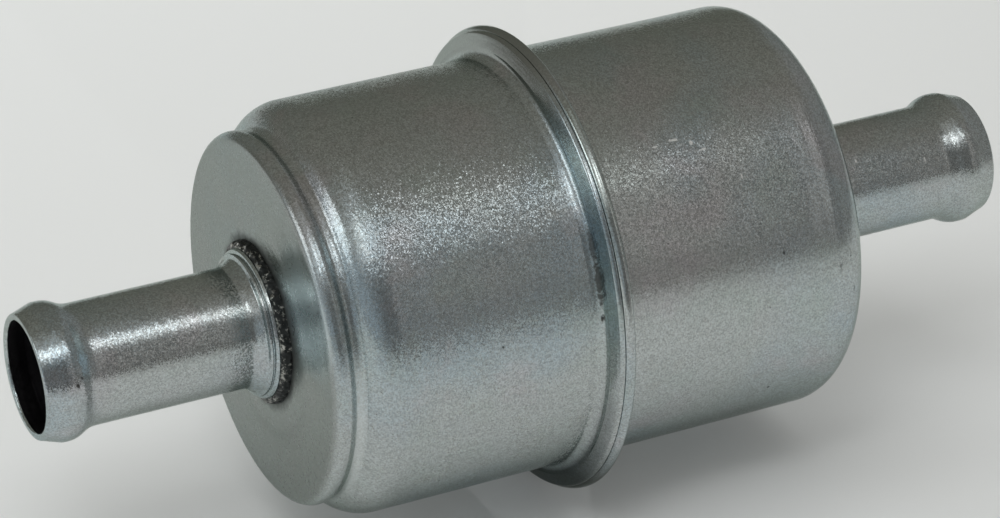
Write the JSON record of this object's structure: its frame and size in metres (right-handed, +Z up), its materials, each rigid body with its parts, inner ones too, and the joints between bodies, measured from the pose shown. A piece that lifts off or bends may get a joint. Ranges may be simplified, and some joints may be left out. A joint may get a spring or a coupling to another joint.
{
  "type": "inline fuel filter",
  "caption": "Metal-can inline fuel filter: drawn cups joined at a waist flange, beaded hose tubes on one axis, and a spring-held pleated paper element inside.",
  "frame": {"origin": "on the can's axis, at the seam of the two cups (within 0.1 mm), midway between the tube tips", "axes": "+X along the axis from the inlet tube to the outlet tube, +Z up, +Y away from the viewer when the inlet is on the left"},
  "size_m": [0.0828, 0.0376, 0.0376],
  "materials": {
    "shell_zinc": "zinc plated, clear passivate, satin",
    "tube_zinc": "zinc plated, clear passivate, satin",
    "braze_metal": "dark, granular braze with soot",
    "gasket_fibre": "matt",
    "spring_steel": "drawn wire",
    "cap_tinplate": "tinplate",
    "potting_plastisol": "matt plastisol",
    "core_tinplate": "tinplate, perforated",
    "filter_paper": "resin-treated paper",
    "clip_steel": "plated strip",
    "grommet_rubber": "moulded nitrile"
  },
  "bodies": {
    "housing": {"inlet_shell": "shell_zinc", "outlet_shell": "shell_zinc", "inlet_tube": "tube_zinc", "outlet_tube": "tube_zinc", "inlet_braze_ring": "braze_metal", "outlet_braze_ring": "braze_metal", "seam_gasket": "gasket_fibre", "retaining_spring": "spring_steel"},
    "element": {"inlet_end_cap": "cap_tinplate", "outlet_end_cap": "cap_tinplate", "inlet_potting": "potting_plastisol", "outlet_potting": "potting_plastisol", "centre_tube": "core_tinplate", "pleated_paper": "filter_paper", "pleat_clip": "clip_steel", "outlet_grommet": "grommet_rubber"}
  },
  "joints": [
    {"name": "element_float", "type": "slide", "parent": "housing", "child": "element", "axis": [-1, 0, 0], "range_m": [0, 0.0015], "stiffness_N_per_m": 900, "springref_m": -0.004, "deforming": ["retaining_spring"]}
  ]
}
